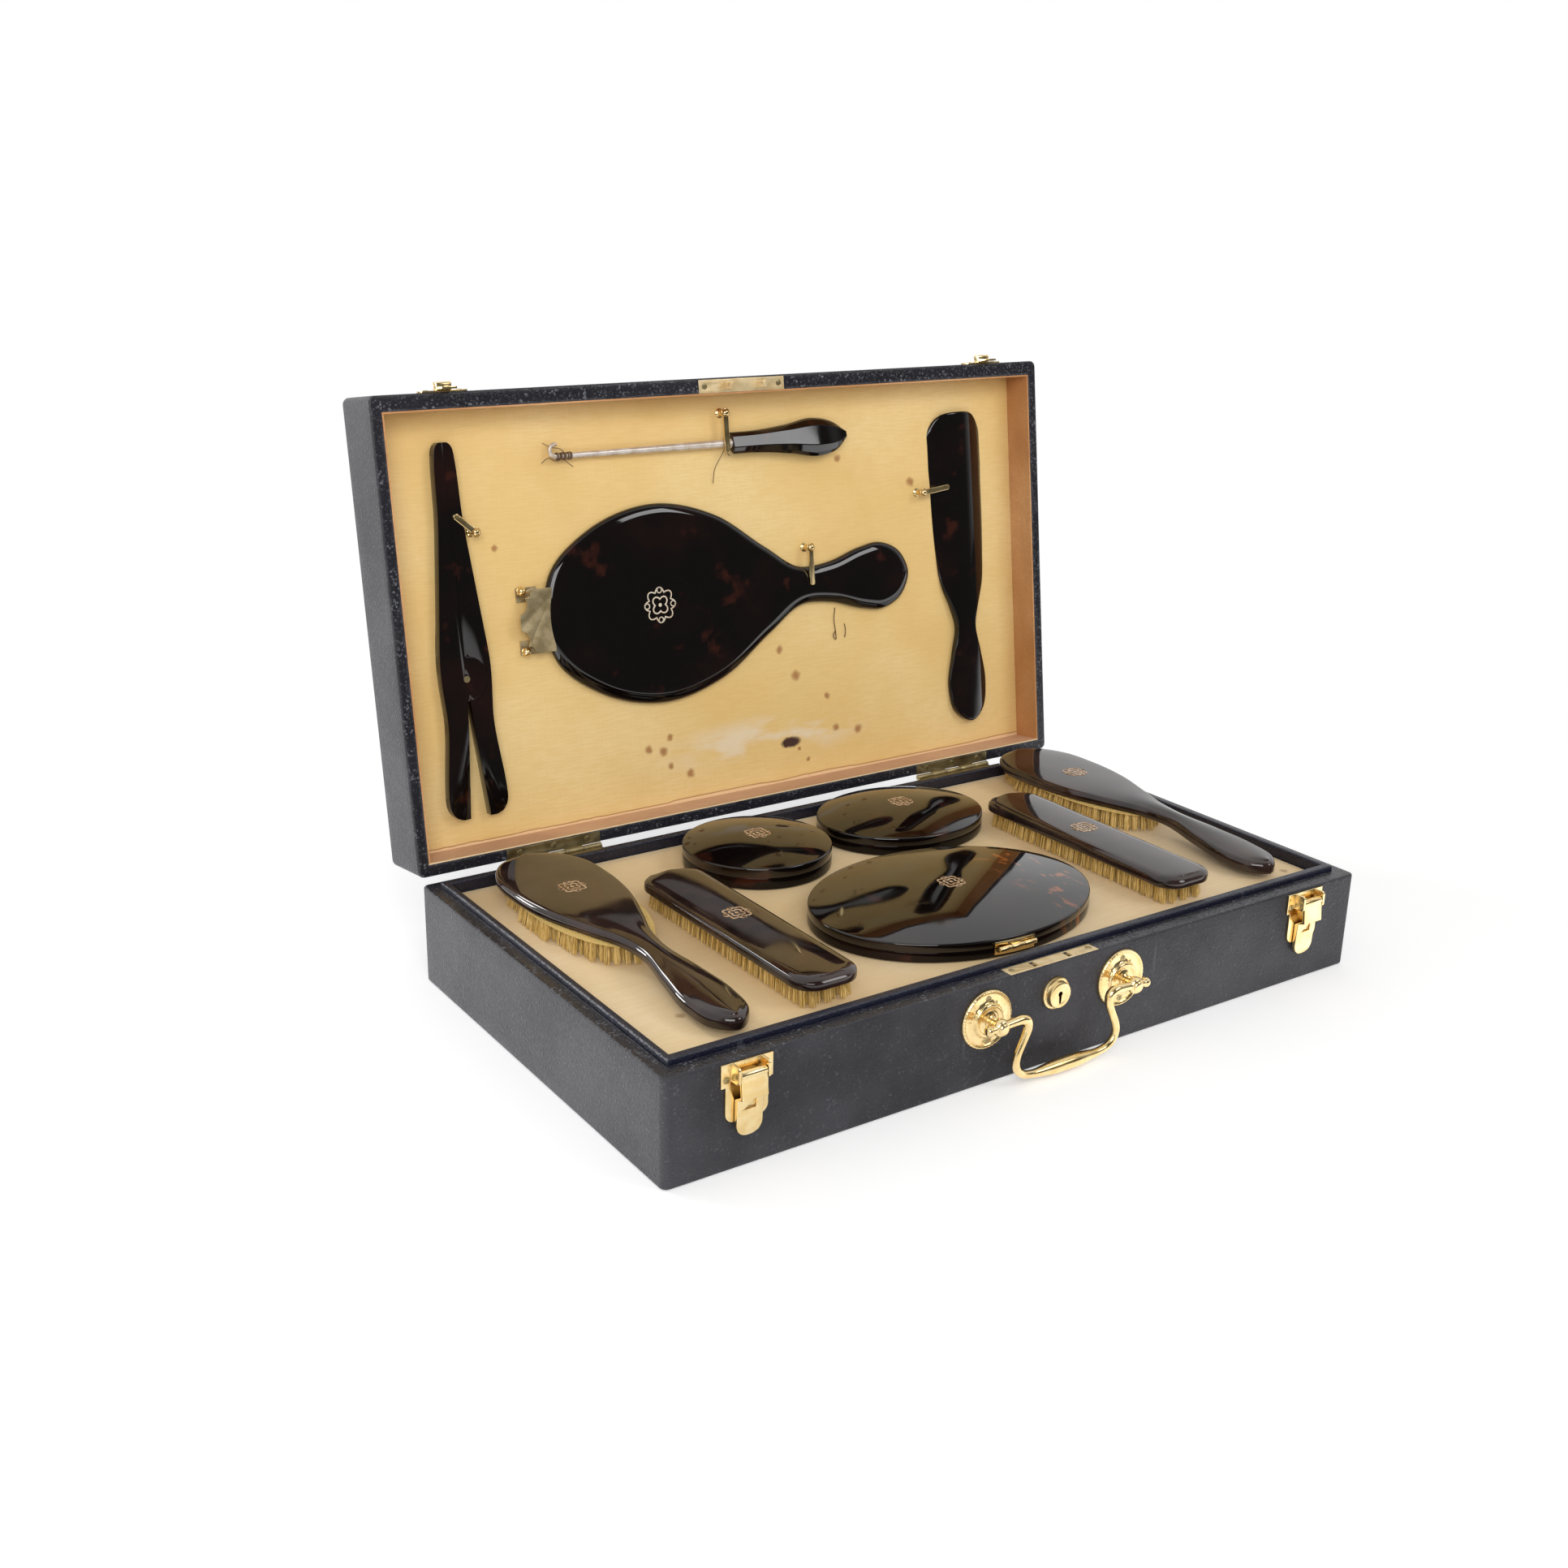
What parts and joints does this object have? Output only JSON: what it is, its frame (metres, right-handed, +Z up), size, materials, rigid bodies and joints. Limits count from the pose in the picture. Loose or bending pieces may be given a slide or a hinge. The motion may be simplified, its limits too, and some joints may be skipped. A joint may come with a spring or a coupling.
{
  "type": "fitted dressing box",
  "caption": "Leather dressing case with hinged lid, tray of brushes and oval boxes, lid tools on turn hooks, lock, latches and swinging bail handle.",
  "frame": {"origin": "centre of the flat underside of the base", "axes": "+X from left to right along the front, +Y from the front to the hinges, +Z up"},
  "size_m": [0.48, 0.3675, 0.3347],
  "materials": {
    "navy_leather": "grained, worn",
    "lip_leather": "grained",
    "wood": "plain",
    "cream_silk": "satin weave",
    "gold_silk": "satin weave",
    "tan_silk": "satin weave",
    "brass": "gilt, rubbed",
    "aged_brass": "tarnished",
    "steel": "worn",
    "tortoiseshell": "polished",
    "bristle": "natural",
    "silvered_glass": "polished"
  },
  "bodies": {
    "case": {"base_carcass": "wood", "base_leather": "navy_leather", "base_lip": "lip_leather", "tray_bearers": "wood", "base_tray": "cream_silk", "lock_case": "brass", "lock_escutcheon": "brass", "handle_rosettes": "brass", "handle_posts": "brass", "left_latch_plate": "brass", "right_latch_plate": "brass", "latch_pins": "aged_brass", "base_hinge_leaves": "aged_brass", "hinge_pins": "aged_brass", "base_screws": "aged_brass"},
    "lid": {"lid_carcass": "wood", "lid_leather": "navy_leather", "lid_board": "gold_silk", "lid_battens": "wood", "lid_side_lining": "tan_silk", "lid_lock_plate": "brass", "lid_catches": "brass", "lid_hinge_leaves": "aged_brass", "lid_screws": "aged_brass", "mirror_bracket": "brass", "bracket_screws": "brass", "turn_hook_posts": "brass", "stretcher_fixed_half": "tortoiseshell", "stretcher_pin": "aged_brass", "button_hook_handle": "tortoiseshell", "button_hook_shank": "steel", "shoehorn": "tortoiseshell"},
    "mirror": {"mirror_frame": "tortoiseshell", "mirror_glass": "silvered_glass"},
    "stretcher_half": {"stretcher_moving_half": "tortoiseshell"},
    "bolt": {"lock_bolt": "steel"},
    "bail": {"handle_bail": "brass"},
    "left_latch": {"left_latch_lever": "brass"},
    "right_latch": {"right_latch_lever": "brass"},
    "small_box": {"small_box_base": "tortoiseshell"},
    "small_box_cover": {"small_box_lid": "tortoiseshell"},
    "medium_box": {"medium_box_base": "tortoiseshell"},
    "medium_box_cover": {"medium_box_lid": "tortoiseshell"},
    "large_box": {"large_box_base": "tortoiseshell", "large_box_hinge_base_leaf": "brass", "large_box_hinge_pin": "brass"},
    "large_box_cover": {"large_box_lid": "tortoiseshell", "large_box_hinge_lid_leaf": "brass"},
    "stretcher_hook": {"stretcher_turn_hook": "brass"},
    "mirror_hook": {"mirror_turn_hook": "brass"},
    "button_hook": {"button_turn_hook": "brass"},
    "shoehorn_hook": {"shoehorn_turn_hook": "brass"},
    "left_hairbrush": {"left_hairbrush_back": "tortoiseshell", "left_hairbrush_bristles": "bristle"},
    "left_clothes_brush": {"left_clothes_brush_back": "tortoiseshell", "left_clothes_brush_bristles": "bristle"},
    "right_hairbrush": {"right_hairbrush_back": "tortoiseshell", "right_hairbrush_bristles": "bristle"},
    "right_clothes_brush": {"right_clothes_brush_back": "tortoiseshell", "right_clothes_brush_bristles": "bristle"}
  },
  "joints": [
    {"name": "lid_hinge", "type": "hinge", "parent": "case", "child": "lid", "pos_m": [0, 0.1375, 0.0593], "axis": [-1, 0, 0], "range_deg": [-98, 0]},
    {"name": "lock_bolt_slide", "type": "slide", "parent": "case", "child": "bolt", "axis": [1, 0, 0], "range_m": [0, 0.0045]},
    {"name": "bail_pivot", "type": "hinge", "parent": "case", "child": "bail", "pos_m": [0, -0.1475, 0.0385], "axis": [-1, 0, 0], "range_deg": [-10, 170]},
    {"name": "left_latch_pivot", "type": "hinge", "parent": "case", "child": "left_latch", "pos_m": [-0.195, -0.1413, 0.0524], "axis": [-1, 0, 0], "range_deg": [0, 90]},
    {"name": "right_latch_pivot", "type": "hinge", "parent": "case", "child": "right_latch", "pos_m": [0.195, -0.1413, 0.0524], "axis": [-1, 0, 0], "range_deg": [0, 90]},
    {"name": "stretcher_hook_turn", "type": "hinge", "parent": "lid", "child": "stretcher_hook", "pos_m": [-0.1787, 0.17951, 0.249], "axis": [0, 0.9903, -0.1392], "range_deg": [0, 90]},
    {"name": "mirror_hook_turn", "type": "hinge", "parent": "lid", "child": "mirror_hook", "pos_m": [0.0542, 0.1752, 0.2183], "axis": [0, -0.9903, 0.1392], "range_deg": [0, 90]},
    {"name": "button_hook_turn", "type": "hinge", "parent": "lid", "child": "button_hook", "pos_m": [-0.0044, 0.18755, 0.30624], "axis": [0, 0.9903, -0.1392], "range_deg": [0, 90]},
    {"name": "shoehorn_hook_turn", "type": "hinge", "parent": "lid", "child": "shoehorn_hook", "pos_m": [0.149, 0.17907, 0.24583], "axis": [0, -0.9903, 0.1392], "range_deg": [0, 90]},
    {"name": "stretcher_pivot", "type": "hinge", "parent": "lid", "child": "stretcher_half", "pos_m": [-0.1924, 0.17143, 0.16561], "axis": [0, -0.9903, 0.1392], "range_deg": [0, 6]},
    {"name": "mirror_slide", "type": "slide", "parent": "lid", "child": "mirror", "axis": [1, 0, 0], "range_m": [0, 0.0044]},
    {"name": "left_hairbrush_lift", "type": "slide", "parent": "case", "child": "left_hairbrush", "axis": [0, 0, 1], "range_m": [0, 0.06]},
    {"name": "left_clothes_brush_lift", "type": "slide", "parent": "case", "child": "left_clothes_brush", "axis": [0, 0, 1], "range_m": [0, 0.06]},
    {"name": "right_hairbrush_lift", "type": "slide", "parent": "case", "child": "right_hairbrush", "axis": [0, 0, 1], "range_m": [0, 0.06]},
    {"name": "right_clothes_brush_lift", "type": "slide", "parent": "case", "child": "right_clothes_brush", "axis": [0, 0, 1], "range_m": [0, 0.06]},
    {"name": "small_box_lift", "type": "slide", "parent": "case", "child": "small_box", "axis": [0, 0, 1], "range_m": [0, 0.06]},
    {"name": "medium_box_lift", "type": "slide", "parent": "case", "child": "medium_box", "axis": [0, 0, 1], "range_m": [0, 0.06]},
    {"name": "large_box_lift", "type": "slide", "parent": "case", "child": "large_box", "axis": [0, 0, 1], "range_m": [0, 0.06]},
    {"name": "small_cover_lift", "type": "slide", "parent": "small_box", "child": "small_box_cover", "axis": [0, 0, 1], "range_m": [0, 0.03]},
    {"name": "medium_cover_lift", "type": "slide", "parent": "medium_box", "child": "medium_box_cover", "axis": [0, 0, 1], "range_m": [0, 0.03]},
    {"name": "large_cover_hinge", "type": "hinge", "parent": "large_box", "child": "large_box_cover", "pos_m": [-0.007, -0.11205, 0.06125], "axis": [1, 0, 0], "range_deg": [0, 100]}
  ]
}
